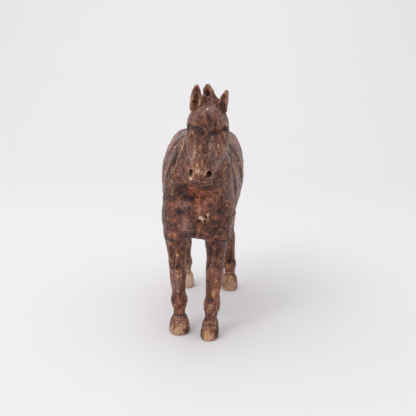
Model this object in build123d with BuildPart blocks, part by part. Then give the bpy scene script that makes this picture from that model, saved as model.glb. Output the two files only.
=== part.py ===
"""A standing horse about 300 mm tall, carved in brown-stained wood and built up from separate blocks.

The trunk is one block with its grain running fore and aft. The neck and head are a second block, dowelled
onto a slanting face of the trunk. Each leg has its own vertical grain and stands in the trunk on a round
tenon. The ears, the mane and the tail are small carvings let into sockets of their own, and a round plug
fills a bored-out knot in the chest.

Frame: +Z up, the horse faces -Y, its left side is +X. The origin is on the ground under the middle of the
object's box.
"""

import os

from build123d import *

os.makedirs("parts", exist_ok=True)

# ---------------------------------------------------------------- driving dimensions, in millimetres
FORE_JOINT_Z = 119.0  # the forelegs butt against the trunk here
HIND_JOINT_Z = 126.0  # and the hind legs here
LEG_TENON_R = 5.5
LEG_TENON_LENGTH = 34.0
NECK_DOWEL_R = 7.0
NECK_DOWEL_DEPTH = 28.0  # into each block
CHEST_PLUG_R = 4.6
CHEST_DRILL_LENGTH = 40.0  # from the bottom of the plug to well clear of the chest
EAR_TENON_R = 2.4
EAR_TENON_LENGTH = 8.0
EAR_TENON_ROOT = 1.0  # the tenon starts this far up inside the ear
EAR_SEAT_CUT = 12.0  # the seat is cut this far up from the ear's foot, to clear the head
TAIL_TENON_R = 4.0
TAIL_TENON_LENGTH = 30.0
MANE_THICKNESS = 9.0
FIT = 0.06  # radial room for glue round a dowel, peg or tenon
SOCKET_END_ROOM = 1.0  # room left for glue past the end of a tenon

# The trunk from chest to buttocks. Each row is one cross-section: its y, then half widths at rising
# heights, from the underside on the centre line to the top on the centre line.
TRUNK_SECTIONS = [
    (-91, [(0, 133), (9, 134), (16, 140), (20, 150), (16, 164), (8, 173), (0, 177)]),
    (-86, [(0, 125.5), (17, 126), (28, 133), (32.5, 148), (27, 170), (15, 188), (0, 195)]),
    (-76, [(0, 122), (22, 121.5), (35, 127), (39.5, 146), (34.5, 174), (20, 201), (0, 213)]),
    (-58, [(0, 121), (24, 121), (38, 127), (42.7, 147), (40, 178), (25, 214), (0, 232)]),
    (-36, [(0, 121), (24, 121.5), (38, 131), (43.5, 152), (43, 188), (28, 226), (0, 244)]),
    (-10, [(0, 121), (23, 122), (38, 136), (48.5, 168), (46.5, 202), (30, 232), (0, 245)]),
    (25, [(0, 121), (23, 122), (40.5, 141), (53, 178), (49.8, 208), (36.5, 231), (0, 241)]),
    (60, [(0, 124), (23, 126), (42, 146), (52.5, 182), (50.5, 209), (40, 232), (0, 242)]),
    (88, [(0, 132), (22, 134), (41, 152), (50.5, 187), (49.5, 211), (39.5, 231.5), (0, 243)]),
    (115, [(0, 146), (18, 148), (34, 163), (43.5, 188), (42, 210), (29, 229), (0, 237)]),
    (133, [(0, 160), (12, 162), (22, 171), (29, 190), (27, 205), (16, 220), (0, 226)]),
    (143, [(0, 178), (6, 179), (10, 184), (13, 193), (12, 202), (7, 209), (0, 212)]),
]

# Neck and head, in side profile. Each row is one cross-section: the (y, z) of its front edge, the (y, z)
# of its back edge, its half width and the x of its middle. The neck sways to the horse's left and the
# head hangs from it with a slight roll, so the middle moves over as it goes.
NECK_SECTIONS = [
    ((-84, 160), (-2, 212), 37, 3.5),
    ((-92, 187), (-18, 234), 33, 5.5),
    ((-98, 211), (-37, 252), 25.5, 7.5),
    ((-104, 232), (-55, 267), 19.5, 10.0),
    ((-108, 246), (-67, 278), 16.5, 12.0),
]
HEAD_SECTIONS = [
    ((-80, 280), (-62, 243), 15, 13),
    ((-95, 279), (-75, 239), 19.5, 13),
    ((-111, 273), (-85, 231), 22.5, 13.2),
    ((-124, 260), (-95, 223), 22.8, 13.5),
    ((-132, 247), (-106, 216), 20.5, 13.2),
    ((-141, 232), (-119, 209), 15.5, 11.5),
    ((-149.5, 218), (-130, 201), 12.7, 9),
    ((-154, 208.5), (-138, 196.5), 13.6, 8),
    ((-153, 201), (-143, 195.2), 10, 7.5),
]
HEAD_CORNER = 0.8  # the head's sections are boxes whose corners are this round
NOSTRILS = [(-1.6, -155.5, 210.5), (17.0, -155.5, 208.8)]  # drilled from these points
NOSTRIL_R = 2.1
NOSTRIL_DEPTH = 7.0

# Legs. Each row is one level of a leg: its height, half width, half depth and how far it stands forward
# of the straight line from the foot to the top.
FORELEG_PROFILE = [
    (0, 12.2, 14.0, 3.0),
    (6, 12.6, 14.2, 2.5),
    (15, 10.6, 11.6, 0.5),
    (23, 7.4, 8.2, -2.0),
    (35, 9.7, 10.2, -3.0),
    (48, 8.6, 8.8, -2.0),
    (64, 8.9, 9.4, -1.0),
    (81, 10.3, 11.0, 1.0),
    (94, 10.8, 11.8, 0.0),
    (110, 12.6, 15.0, -1.0),
    (FORE_JOINT_Z, 13.4, 17.5, 0.0),
]
HINDLEG_PROFILE = [
    (0, 11.2, 13.5, 3.0),
    (6, 11.5, 13.8, 2.5),
    (15, 10.0, 11.4, 0.5),
    (23, 7.3, 8.4, -2.0),
    (33, 8.8, 9.8, -3.0),
    (47, 7.5, 8.8, -4.0),
    (64, 7.9, 10.2, -6.0),
    (80, 9.4, 14.0, -8.0),
    (92, 9.8, 14.8, -6.0),
    (108, 12.4, 17.5, -1.0),
    (HIND_JOINT_Z, 14.0, 23.0, 0.0),
]
HOOF_TOP = 15  # the levels up to here belong to the hoof
KNEE_Z = 64
# name: profile, foot (x, y), knee or hock (x, y), top (x, y), hoof width against the profile
LEGS = {
    "foreleg_right": (FORELEG_PROFILE, (-23.7, -61.0), (-25.0, -61.5), (-26.8, -62.0), 1.0),
    "foreleg_left": (FORELEG_PROFILE, (13.6, -76.0), (18.2, -69.5), (21.6, -64.0), 0.87),
    "hindleg_right": (HINDLEG_PROFILE, (-30.4, 115.0), (-32.0, 106.0), (-29.5, 97.0), 1.0),
    "hindleg_left": (HINDLEG_PROFILE, (36.0, 106.0), (34.6, 101.0), (28.0, 96.0), 1.0),
}
# The trunk swells out to meet each leg. Inner and outer sides of the swelling at the joint, as distances
# from the body's middle plane:
SWELL_SIDES = {
    "foreleg_right": (11.5, 40.8),
    "foreleg_left": (6.5, 41.0),
    "hindleg_right": (14.0, 44.5),
    "hindleg_left": (13.0, 42.0),
}
# Rows going up: height, growth of its inner side, growth of its outer side, y past the leg's top,
# half depth.
SHOULDER_SWELL = [
    (FORE_JOINT_Z, 0, 0, 0, 19.5),
    (126, 1, 1, 1, 21.5),
    (146, 0, 2, 4, 23.0),
    (172, -5, -5, 8, 16.0),
]
THIGH_SWELL = [
    (HIND_JOINT_Z, 0, 0, 0, 24.5),
    (142, 1, 3, -2, 30.0),
    (160, 1, 6.5, -6, 34.0),
    (192, -5, 3, -10, 28.0),
]

# The neck block sits on this slanting face of the trunk.
NECK_JOINT_CENTRE = (6.0, -60.0, 215.0)
NECK_JOINT_NORMAL = (0.0, -0.56, 0.83)
# A knot in the chest was bored out and filled with this round plug.
CHEST_PLUG_AT = (9.0, 149.0)  # x, z
CHEST_PLUG_BOTTOM_Y = -72.0

# Ears: base middle, tip, half width, half depth at the widest level
EARS = {
    "ear_right": ((-0.6, -97.0, 271.0), (1.0, -99.0, 298.5), 6.0, 4.2),
    "ear_left": ((28.4, -97.0, 270.0), (31.8, -99.0, 293.0), 5.0, 4.0),
}

EAR_SEAT_R = 7.5  # the head is cut flat this far round an ear's middle
# Share of the ear's height and of its greatest width
EAR_OUTLINE = [(0.0, 0.92), (0.28, 1.0), (0.6, 0.86), (0.85, 0.55), (1.0, 0.25)]
EAR_HOLLOW = [(0.1, 0.3), (0.35, 0.66), (0.65, 0.5), (0.85, 0.2)]

# The mane stands on the crest of the neck, from the hump behind the ears to the withers.
MANE_FRONT = (12.5, -86.0)  # x, y
MANE_BACK = (6.6, -32.0)
MANE_OUTLINE = [  # distance back from MANE_FRONT and height, over the carved tufts
    (3.0, 283),
    (6.0, 291),
    (11.0, 294),
    (17.0, 290),
    (22.0, 288.5),
    (28.0, 281.5),
    (34.0, 278.5),
    (40.0, 270.5),
    (46.5, 266),
    (53.0, 256),
    (59.0, 248),
]
MANE_FOOT = [(58.0, 242), (26.0, 264), (8.0, 272), (3.0, 276)]
# The foremost tuft is thick and stands on a broad foot between the ears: x, y, z of its middle, radius
FORELOCK = [
    ((17.6, -83.5, 270.0), 10.6),
    ((17.0, -84.0, 279.0), 9.0),
    ((14.2, -84.5, 288.0), 6.6),
    ((12.4, -84.5, 295.0), 5.2),
    ((12.0, -84.0, 298.8), 3.6),
    ((12.0, -84.0, 300.0), 1.6),
]

# Tail: the (y, z) of its middle, half width, half depth, from its root down to its tip
TAIL_SECTIONS = [
    ((139.5, 218.0), 6.5, 6.5),
    ((144.0, 212.5), 7.5, 6.8),
    ((147.0, 200.0), 8.5, 7.0),
    ((147.3, 178.0), 9.5, 7.0),
    ((147.0, 152.0), 9.5, 7.0),
    ((146.5, 124.0), 8.0, 6.5),
    ((146.5, 98.0), 5.0, 4.5),
    ((147.5, 84.0), 2.0, 2.0),
]
TAIL_TENON_START = (0.0, 143.5, 214.0)  # inside the thick of the tail; from here it runs into the trunk
TAIL_TENON_DIRECTION = (0.0, -0.86, 0.5)


# ---------------------------------------------------------------- helpers
def facing_front(y):
    """The plane across the body at y, with local x to the horse's left and local y up."""
    return Plane(origin=(0, y, 0), x_dir=(1, 0, 0), z_dir=(0, -1, 0))


def across(front, back, middle_x):
    """The plane of a neck or head section, centred between its front and back edges, local y forwards."""
    centre = ((front[0] + back[0]) / 2, (front[1] + back[1]) / 2)
    forwards = Vector(0, front[0] - back[0], front[1] - back[1])
    return Plane(
        origin=(middle_x, *centre),
        x_dir=(1, 0, 0),
        z_dir=Vector(1, 0, 0).cross(forwards),
    )


def span(front, back):
    """The distance between two (y, z) points."""
    return (Vector(*front) - Vector(*back)).length


def mirrored_outline(half):
    """The closed outline's points, from its half widths at rising heights."""
    return half + [(-x, z) for x, z in reversed(half[1:-1])]


def leg_top(name):
    """The middle of the leg's top, where it butts against the trunk."""
    profile, foot, knee, top, hoof_width = LEGS[name]
    return (*top, profile[-1][0])


def leg_levels(name):
    """Each level of a leg as (x, y, z, half width, half depth)."""
    profile, foot, knee, top, hoof_width = LEGS[name]
    for z, half_width, half_depth, forward in profile:
        if z <= KNEE_Z:
            below, above, share = foot, knee, z / KNEE_Z
        else:
            below, above, share = knee, top, (z - KNEE_Z) / (profile[-1][0] - KNEE_Z)
        x = below[0] + share * (above[0] - below[0])
        y = below[1] + share * (above[1] - below[1]) - forward
        yield x, y, z, half_width * (hoof_width if z <= HOOF_TOP else 1), half_depth


def rod(start, radius, length):
    """A round bar that grows from the start plane along its normal. It serves as a pin or as a drill."""
    with BuildPart() as bar:
        with BuildSketch(start):
            Circle(radius)
        extrude(amount=length)
    return bar.part


neck_joint = Plane(origin=NECK_JOINT_CENTRE, x_dir=(1, 0, 0), z_dir=NECK_JOINT_NORMAL)
tail_tenon = Plane(origin=TAIL_TENON_START, x_dir=(1, 0, 0), z_dir=TAIL_TENON_DIRECTION)
chest_plug_bottom = Plane(
    origin=(CHEST_PLUG_AT[0], CHEST_PLUG_BOTTOM_Y, CHEST_PLUG_AT[1]), z_dir=(0, -1, 0)
)

# ---------------------------------------------------------------- the trunk and neck as one carved blank
with BuildPart() as barrel:
    for y, half in TRUNK_SECTIONS:
        with BuildSketch(facing_front(y)):
            with BuildLine():
                Spline(*mirrored_outline(half), periodic=True)
            make_face()
    loft()

with BuildPart() as neck:
    for front, back, half_width, middle_x in NECK_SECTIONS:
        with BuildSketch(across(front, back, middle_x)):
            Ellipse(half_width, span(front, back) / 2)
    loft()


def swell(name, rows):
    """The mass of shoulder or thigh that the trunk puts out over one leg."""
    x, y, z = leg_top(name)
    side = 1 if x > 0 else -1
    inner, outer = SWELL_SIDES[name]
    with BuildPart() as mass:
        for height, inward, outward, rearward, half_depth in rows:
            middle = (outer + outward + inner - inward) / 2
            half_width = (outer + outward - inner + inward) / 2
            with BuildSketch(Plane.XY.offset(height)):
                with Locations((side * middle, y + rearward)):
                    Ellipse(half_width, half_depth)
        loft()
    return mass.part


with BuildPart() as blank:
    add(barrel.part)
    add(neck.part)
    for leg in LEGS:
        add(swell(leg, SHOULDER_SWELL if leg.startswith("fore") else THIGH_SWELL))


# ---------------------------------------------------------------- tail
def tail_plane(number):
    """Square to the tail's middle line at its numbered section, with local x to the horse's left."""
    middles = [middle for middle, half_width, half_depth in TAIL_SECTIONS]
    before = middles[max(number - 1, 0)]
    after = middles[min(number + 1, len(middles) - 1)]
    along = (0, after[0] - before[0], after[1] - before[1])
    return Plane(origin=(0, *middles[number]), x_dir=(1, 0, 0), z_dir=along)


with BuildPart() as tail:
    for number, (middle, half_width, half_depth) in enumerate(TAIL_SECTIONS):
        with BuildSketch(tail_plane(number)):
            Ellipse(half_width, half_depth)
    loft()
    add(blank.part, mode=Mode.SUBTRACT)
    add(rod(tail_tenon, TAIL_TENON_R, TAIL_TENON_LENGTH))
tail.part.label = "tail"
export_step(tail.part, "parts/tail.step")

# ---------------------------------------------------------------- trunk
with BuildPart() as trunk:
    add(blank.part)
    split(bisect_by=neck_joint, keep=Keep.BOTTOM)
    add(rod(-neck_joint, NECK_DOWEL_R + FIT, NECK_DOWEL_DEPTH + SOCKET_END_ROOM), mode=Mode.SUBTRACT)
    add(rod(tail_tenon, TAIL_TENON_R + FIT, TAIL_TENON_LENGTH + SOCKET_END_ROOM), mode=Mode.SUBTRACT)
    for leg in LEGS:
        socket = rod(Plane(leg_top(leg)), LEG_TENON_R + FIT, LEG_TENON_LENGTH + SOCKET_END_ROOM)
        add(socket, mode=Mode.SUBTRACT)
    add(rod(chest_plug_bottom, CHEST_PLUG_R, CHEST_DRILL_LENGTH), mode=Mode.SUBTRACT)
trunk.part.label = "trunk"
export_step(trunk.part, "parts/trunk.step")

# ---------------------------------------------------------------- plug in the chest
with BuildPart() as chest_plug:
    add(rod(chest_plug_bottom, CHEST_PLUG_R, CHEST_DRILL_LENGTH))
    add(blank.part, mode=Mode.INTERSECT)
chest_plug.part.label = "chest_plug"
export_step(chest_plug.part, "parts/chest_plug.step")

# ---------------------------------------------------------------- dowel between the two blocks
with BuildPart() as neck_dowel:
    add(rod(neck_joint.offset(-NECK_DOWEL_DEPTH), NECK_DOWEL_R, 2 * NECK_DOWEL_DEPTH))
neck_dowel.part.label = "neck_dowel"
export_step(neck_dowel.part, "parts/neck_dowel.step")


# ---------------------------------------------------------------- ears
def ear_base(name):
    """The plane of the ear's foot, with its normal towards the tip."""
    base, tip, half_width, half_depth = EARS[name]
    return Plane(origin=base, x_dir=(1, 0, 0), z_dir=Vector(*tip) - Vector(*base))


def ear_height(name):
    """How far the ear's tip is from the middle of its foot."""
    base, tip, half_width, half_depth = EARS[name]
    return (Vector(*tip) - Vector(*base)).length


def ear(name):
    """A leaf-shaped ear with a hollow front, on a round tenon."""
    base, tip, half_width, half_depth = EARS[name]
    foot = ear_base(name)
    height = ear_height(name)
    with BuildPart() as blade:
        for share, width in EAR_OUTLINE:
            with BuildSketch(foot.offset(share * height)):
                Ellipse(half_width * width, half_depth * width)
        loft()
    with BuildPart() as hollow:
        for share, width in EAR_HOLLOW:
            with BuildSketch(foot.offset(share * height)):
                with Locations((0, -half_depth)):
                    Ellipse(half_width * width, half_depth * width)
        loft()
    with BuildPart() as whole:
        add(blade.part)
        add(hollow.part, mode=Mode.SUBTRACT)
        add(rod(-foot, EAR_TENON_R, EAR_TENON_LENGTH))
        add(rod(foot, EAR_TENON_R, EAR_TENON_ROOT))
    return whole.part


with BuildPart() as ear_right:
    add(ear("ear_right"))
ear_right.part.label = "ear_right"
export_step(ear_right.part, "parts/ear_right.step")

with BuildPart() as ear_left:
    add(ear("ear_left"))
ear_left.part.label = "ear_left"
export_step(ear_left.part, "parts/ear_left.step")

# ---------------------------------------------------------------- mane
mane_front = Vector(*MANE_FRONT)
mane_back = Vector(*MANE_BACK)
mane_plane = Plane(
    origin=(*MANE_FRONT, 0),
    x_dir=mane_back - mane_front,
    z_dir=(mane_back - mane_front).cross(Vector(0, 0, 1)),
)
with BuildPart() as forelock:
    for (x, y, z), radius in FORELOCK:
        with BuildSketch(Plane.XY.offset(z)):
            with Locations((x, y)):
                Circle(radius)
    loft()

with BuildPart() as mane:
    with BuildSketch(mane_plane):
        with BuildLine():
            Spline(*MANE_OUTLINE)
            Polyline(MANE_OUTLINE[-1], *MANE_FOOT, MANE_OUTLINE[0])
        make_face()
    extrude(amount=MANE_THICKNESS / 2, both=True)
    add(forelock.part)
mane.part.label = "mane"
export_step(mane.part, "parts/mane.step")

# ---------------------------------------------------------------- neck and head, one block
with BuildPart() as head:
    for front, back, half_width, middle_x in HEAD_SECTIONS:
        height = span(front, back)
        with BuildSketch(across(front, back, middle_x)):
            RectangleRounded(2 * half_width, height, HEAD_CORNER * min(half_width, height / 2))
    loft()

with BuildPart() as neck_and_head:
    add(blank.part)
    split(bisect_by=neck_joint, keep=Keep.TOP)
    add(head.part)
    add(mane.part, mode=Mode.SUBTRACT)
    add(rod(neck_joint, NECK_DOWEL_R + FIT, NECK_DOWEL_DEPTH + SOCKET_END_ROOM), mode=Mode.SUBTRACT)
    for name in EARS:
        ear_foot = ear_base(name)
        add(rod(-ear_foot, EAR_TENON_R + FIT, EAR_TENON_LENGTH + SOCKET_END_ROOM), mode=Mode.SUBTRACT)
        add(rod(ear_foot, EAR_SEAT_R, EAR_SEAT_CUT), mode=Mode.SUBTRACT)
    for nostril in NOSTRILS:
        add(rod(Plane(origin=nostril, z_dir=(0, 1, 0)), NOSTRIL_R, NOSTRIL_DEPTH), mode=Mode.SUBTRACT)
neck_and_head.part.label = "neck_and_head"
export_step(neck_and_head.part, "parts/neck_and_head.step")


# ---------------------------------------------------------------- legs
def leg_with_tenon(name):
    """A carved leg and hoof with a round tenon on top."""
    with BuildPart() as carved:
        for x, y, z, half_width, half_depth in leg_levels(name):
            with BuildSketch(Plane.XY.offset(z)):
                with Locations((x, y)):
                    Ellipse(half_width, half_depth)
        loft()
        add(rod(Plane(leg_top(name)), LEG_TENON_R, LEG_TENON_LENGTH))
    return carved.part


with BuildPart() as foreleg_right:
    add(leg_with_tenon("foreleg_right"))
foreleg_right.part.label = "foreleg_right"
export_step(foreleg_right.part, "parts/foreleg_right.step")

with BuildPart() as foreleg_left:
    add(leg_with_tenon("foreleg_left"))
foreleg_left.part.label = "foreleg_left"
export_step(foreleg_left.part, "parts/foreleg_left.step")

with BuildPart() as hindleg_right:
    add(leg_with_tenon("hindleg_right"))
hindleg_right.part.label = "hindleg_right"
export_step(hindleg_right.part, "parts/hindleg_right.step")

with BuildPart() as hindleg_left:
    add(leg_with_tenon("hindleg_left"))
hindleg_left.part.label = "hindleg_left"
export_step(hindleg_left.part, "parts/hindleg_left.step")
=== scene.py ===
"""A standing horse, carved in brown-stained wood and built up from separate blocks.

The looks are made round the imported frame: metres, +Z up, the horse faces -Y and its left side is +X.
Places on the animal are written in millimetres, because that is how a carver measures it.
"""

import math

import bmesh
import bpy
import numpy as np
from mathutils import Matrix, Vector, noise


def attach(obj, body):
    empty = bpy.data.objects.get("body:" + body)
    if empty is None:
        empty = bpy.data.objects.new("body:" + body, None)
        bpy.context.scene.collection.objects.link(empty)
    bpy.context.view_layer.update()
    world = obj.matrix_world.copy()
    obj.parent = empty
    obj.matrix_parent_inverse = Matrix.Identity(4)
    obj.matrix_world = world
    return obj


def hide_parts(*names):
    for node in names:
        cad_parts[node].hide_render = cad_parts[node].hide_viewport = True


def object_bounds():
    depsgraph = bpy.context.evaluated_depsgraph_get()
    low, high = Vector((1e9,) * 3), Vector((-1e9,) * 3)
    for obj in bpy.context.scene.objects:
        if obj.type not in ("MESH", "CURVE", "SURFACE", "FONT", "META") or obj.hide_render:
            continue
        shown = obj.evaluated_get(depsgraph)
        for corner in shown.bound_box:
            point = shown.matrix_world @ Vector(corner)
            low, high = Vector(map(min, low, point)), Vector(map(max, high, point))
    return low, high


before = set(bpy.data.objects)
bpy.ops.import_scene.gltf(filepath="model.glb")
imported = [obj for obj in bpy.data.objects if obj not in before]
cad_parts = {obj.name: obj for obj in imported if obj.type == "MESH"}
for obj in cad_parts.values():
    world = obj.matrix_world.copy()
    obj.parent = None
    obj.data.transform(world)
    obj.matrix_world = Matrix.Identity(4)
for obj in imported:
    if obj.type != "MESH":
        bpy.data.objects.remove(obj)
cad_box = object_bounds()

# ---------------------------------------------------------------- the glued-up blank
# The trunk, the neck block and the four legs are glued up first and then carved as one, so the surface
# runs on through their joints. The whole mass is shaped here, and sawn apart along the joints below it.
MM = 0.001
BLANK_BLOCKS = ["trunk", "neck_and_head", "chest_plug"]
BLANK_BLOCKS += ["foreleg_left", "foreleg_right", "hindleg_left", "hindleg_right"]
BLANK_VOXEL = 1.15  # mm
GLUE_LINE = 0.25  # mm that each block is grown by, so that the blocks run into each other
LINE_STEP = 1.5  # mm between a carved line's points
LINE_REACH = 12  # mm from a line's point within which the wood is looked for
WORKED = 3  # mm that a point may have moved since the surface was last felt


def numbers(items, what, each, kind=np.float64):
    """A whole mesh's points, normals or edges as one array."""
    flat = np.empty(len(items) * each, kind)
    items.foreach_get(what, flat)
    return flat.reshape(-1, each)


class Carving:
    """One piece of wood while it is being worked. Its points are in millimetres."""

    def __init__(self, mesh):
        self.mesh = mesh
        self.edges = numbers(mesh.edges, "vertices", 2, np.int32)
        self.neighbours = np.bincount(self.edges.ravel(), minlength=len(mesh.vertices))
        self.points = numbers(mesh.vertices, "co", 3) / MM
        self.free = np.ones(len(mesh.vertices))
        self.turn_over()

    def turn_over(self):
        """Give the worked points back to the mesh, and feel its surface again."""
        self.mesh.vertices.foreach_set("co", (self.points * MM).astype(np.float32).ravel())
        self.mesh.update()
        self.normals = numbers(self.mesh.vertex_normals, "vector", 3)
        self.by_height = np.argsort(self.points[:, 2])
        self.heights = self.points[self.by_height, 2]

    def hold(self, point, normal, reach):
        """Keep the points near a joint's plane where they are, so that both sides still meet there."""
        away = np.abs((self.points - np.array(point)) @ np.array(Vector(normal).normalized()))
        self.free = np.minimum(self.free, np.clip(away / reach, 0, 1) ** 2)

    def mean_of_neighbours(self, values):
        """For each point, the mean of these values over the points joined to it."""
        one, other = self.edges.T
        count = len(self.points)
        columns = values.reshape(count, -1).T
        total = [
            np.bincount(one, column[other], count) + np.bincount(other, column[one], count)
            for column in columns
        ]
        return (np.array(total) / self.neighbours).T.reshape(values.shape)

    def sand(self, rounds, where=1.0):
        """Soften the surface."""
        share = (0.5 * where * self.free)[:, None]
        for _ in range(rounds):
            self.points += (self.mean_of_neighbours(self.points) - self.points) * share
        self.turn_over()

    def around(self, centre, reach):
        """The points whose height is within reach of the centre's; quick, since they lie in order."""
        low, high = np.searchsorted(self.heights, (centre[2] - reach - WORKED, centre[2] + reach + WORKED))
        return self.by_height[low:high]

    def within(self, centre, radii, axes=None):
        """Points near the centre, and for each a share: 1 there, falling smoothly to 0 at the radii."""
        chosen = self.around(centre, max(radii))
        away = self.points[chosen] - np.array(centre)
        if axes is not None:
            away = away @ np.array([Vector(axis).normalized() for axis in axes]).T
        away = away / np.array(radii)
        share = np.clip(1 - (away**2).sum(1), 0, 1) ** 2
        inside = share > 0
        return chosen[inside], share[inside]

    def press(self, centre, radii, depth, axes=None):
        """Take a hollow out of the surface, or with a negative depth leave a swelling on it."""
        chosen, share = self.within(centre, radii, axes)
        share = share * depth * self.free[chosen]
        self.points[chosen] -= self.normals[chosen] * share[:, None]

    def drill(self, centre, radii, towards, depth):
        """Sink a steep-sided hole in one direction."""
        chosen, share = self.within(centre, radii)
        self.points[chosen] += np.array(Vector(towards).normalized()) * (share**0.3 * depth)[:, None]

    def line(self, path):
        """The path laid on the surface, as points a step apart that are each on the wood."""
        laid = []
        for start, end in zip(path, path[1:]):
            start, end = np.array(start, float), np.array(end, float)
            steps = max(1, round(np.linalg.norm(end - start) / LINE_STEP))
            for step in range(steps + (end == path[-1]).all()):
                wanted = start + (end - start) * step / steps
                near = self.points[self.around(wanted, LINE_REACH)]
                laid.append(near[((near - wanted) ** 2).sum(1).argmin()])
        return np.array(laid)

    def near_line(self, path, width):
        """Points near the path, and for each a share: 1 on the path, falling evenly to 0 at the width."""
        laid = self.line(path)
        low, high = laid.min(0) - width, laid.max(0) + width
        chosen = np.flatnonzero(((self.points > low) & (self.points < high)).all(1))
        best = np.full(len(chosen), 1e9)
        for start, end in zip(laid, laid[1:]):
            along = end - start
            length = along @ along
            if length == 0:
                continue
            off = self.points[chosen] - start
            share = np.clip(off @ along / length, 0, 1)
            best = np.minimum(best, ((off - share[:, None] * along) ** 2).sum(1))
        return chosen, np.clip(1 - np.sqrt(best) / width, 0, 1)

    def groove(self, path, width, depth, edge=1.6, towards=None):
        """Cut a groove along the path, square in or towards a direction; a negative depth is a ridge."""
        chosen, share = self.near_line(path, width)
        share = share**edge * depth * self.free[chosen]
        inward = -self.normals[chosen] if towards is None else np.array(towards, float)
        self.points[chosen] += inward * share[:, None]

    def gouge_marks(self, count, along, length, width, depth, seed):
        """Shallow scoops left by the gouge, lying along the grain."""
        chance = np.random.default_rng(seed)
        grain = np.array(Vector(along).normalized())
        for place in chance.integers(0, len(self.points), count):
            normal = self.normals[place]
            run = grain - normal * (grain @ normal) + chance.normal(0, 0.22, 3)
            run /= np.linalg.norm(run)
            across = np.cross(normal, run)
            size = chance.uniform(0.6, 1.3)
            axes = (run, across, normal)
            radii = (length * size, width * size, width * size)
            self.press(self.points[place], radii, depth * chance.uniform(0.3, 1.0), axes)


def closed_mesh(node_name):
    """A copy of a CAD node's mesh with its loose triangles joined."""
    bm = bmesh.new()
    bm.from_mesh(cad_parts[node_name].data)
    bmesh.ops.remove_doubles(bm, verts=bm.verts, dist=1e-6)
    mesh = bpy.data.meshes.new(node_name + "_copy")
    bm.to_mesh(mesh)
    bm.free()
    return mesh


def even_mesh(mesh, voxel):
    """The solid as an even mesh of small quads, a voxel in millimetres across, without inner shells."""
    holder = bpy.data.objects.new("holder", mesh)
    bpy.context.scene.collection.objects.link(holder)
    remesh = holder.modifiers.new("even", "REMESH")
    remesh.mode = "VOXEL"
    remesh.voxel_size = voxel * MM
    depsgraph = bpy.context.evaluated_depsgraph_get()
    even = bpy.data.meshes.new_from_object(holder.evaluated_get(depsgraph))
    bpy.data.objects.remove(holder)
    bm = bmesh.new()
    bm.from_mesh(even)
    seen = set()
    shells = []
    for seed in bm.verts:
        if seed in seen:
            continue
        shell = [seed]
        seen.add(seed)
        for vert in shell:
            for edge in vert.link_edges:
                other = edge.other_vert(vert)
                if other not in seen:
                    seen.add(other)
                    shell.append(other)
        shells.append(shell)
    shells.sort(key=len)
    bmesh.ops.delete(bm, geom=[vert for shell in shells[:-1] for vert in shell], context="VERTS")
    bm.to_mesh(even)
    bm.free()
    return even


joined = bmesh.new()
for block in BLANK_BLOCKS:
    block_mesh = closed_mesh(block)
    grown = Carving(block_mesh)
    grown.points += grown.normals * GLUE_LINE
    grown.turn_over()
    joined.from_mesh(block_mesh)
blank_mesh = bpy.data.meshes.new("blank")
joined.to_mesh(blank_mesh)
joined.free()
blank = Carving(even_mesh(blank_mesh, BLANK_VOXEL))
blank.sand(6)

# Fore and aft, the carver set the masses off from each other with broad hollows. Millimetres throughout;
# depths are into the wood, so a negative one is a swelling.
SIDES = (-1, 1)  # the horse's right and its left
SHAPE_HOLLOWS = [  # centre, radii, depth
    ((2, -92, 152), (30, 14, 24), -2.6),  # breast
    ((-14, -90, 158), (21, 11, 12), -2.0),
    ((20, -88, 161), (18, 11, 13), -1.6),
    ((-17, -90, 138), (13, 9, 9), 1.4),
    ((21, -89, 139), (12, 9, 8), 1.2),
    ((3, -88, 181), (30, 12, 9), 2.0),  # under the throat
    ((2, -90, 125), (12, 14, 9), 0.8),
    ((3, -35, 248), (20, 26, 9), -1.5),  # withers
    ((0, 15, 243), (26, 34, 8), 1.2),  # saddle
    ((0, 128, 230), (7, 20, 14), 1.5),
    ((-34, 50, 236), (16, 70, 12), -1.2),  # top of the ribs
    ((-33, -46, 131), (9, 9, 11), -2.0),  # point of the right elbow
    ((42, -48, 130), (12, 42, 24), 5.5),  # the left elbow is drawn in
]
SHAPE_PAIRS = [  # the same on both sides: distance from the middle, y, z, radii, depth
    (44, -33, 143, (11, 13, 22), 3.4),  # behind the elbow
    (47, 62, 152, (12, 22, 30), 3.2),  # flank
    (46, 92, 196, (14, 28, 32), -1.8),  # haunch
    (40, 118, 172, (12, 14, 22), 1.6),  # under the buttock
    (40, -62, 152, (9, 20, 22), -1.4),  # point of the shoulder
]
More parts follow.
